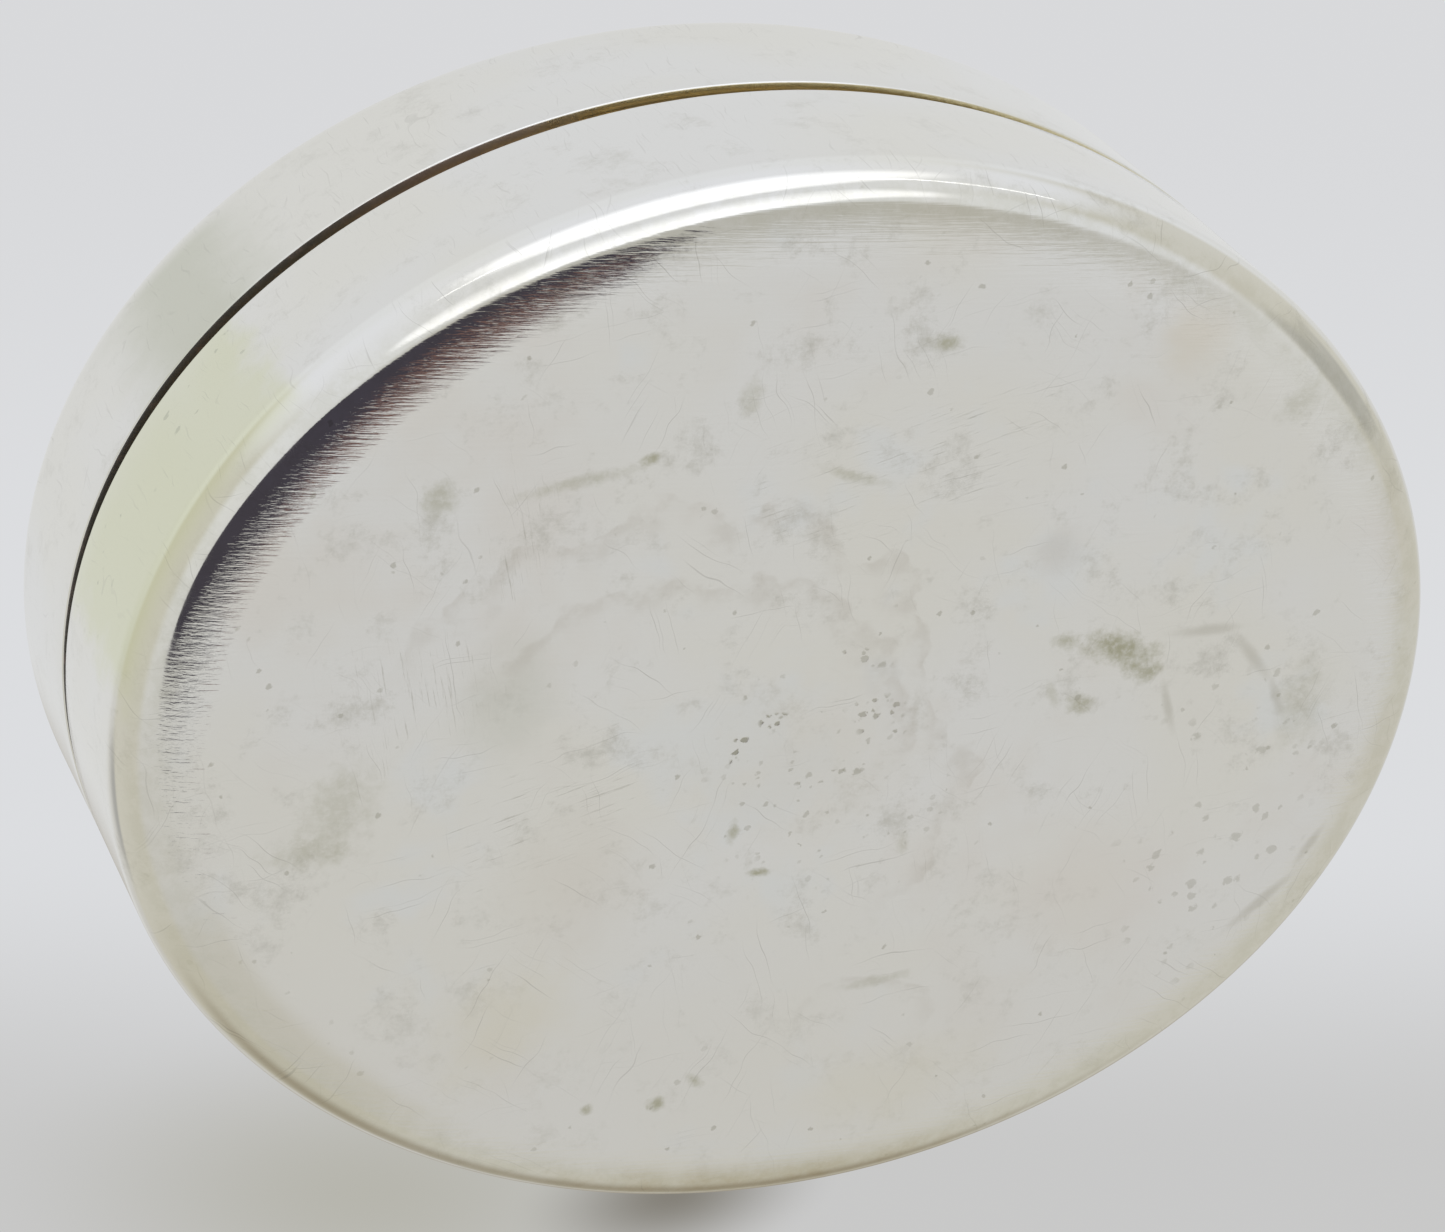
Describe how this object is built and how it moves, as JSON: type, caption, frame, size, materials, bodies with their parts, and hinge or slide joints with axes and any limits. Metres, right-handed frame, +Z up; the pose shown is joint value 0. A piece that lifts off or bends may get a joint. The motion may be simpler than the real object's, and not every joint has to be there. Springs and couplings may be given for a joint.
{
  "type": "pill box",
  "caption": "Small oval silver pill box: two straight-sided drawn cups with rounded edges meet at half height, joined by a knuckle hinge on one long side, with a gilt inner bezel.",
  "frame": {"origin": "middle of the flat underside, which the box rests on", "axes": "+X along the long axis of the oval, -Y towards the opening side, +Y towards the hinge, +Z up through the lid"},
  "size_m": [0.0484, 0.0404, 0.0167],
  "materials": {
    "silver": "polished sterling silver with fine lengthwise brush lines, scratches and light tarnish",
    "gilt": "gold wash over silver, soft polish",
    "pin_wire": "drawn nickel silver wire"
  },
  "bodies": {
    "base": {"base_shell": "silver", "base_bezel": "gilt", "base_hinge_bearer": "silver", "base_knuckle_left": "silver", "base_knuckle_centre": "silver", "base_knuckle_right": "silver", "hinge_pin": "pin_wire"},
    "lid": {"lid_shell": "silver", "lid_hinge_bearer": "silver", "lid_knuckle_left": "silver", "lid_knuckle_right": "silver"}
  },
  "joints": [
    {"name": "lid_hinge", "type": "hinge", "parent": "base", "child": "lid", "pos_m": [0, 0.0194, 0.00797], "axis": [-1, 0, 0], "range_deg": [-1, 104]}
  ]
}
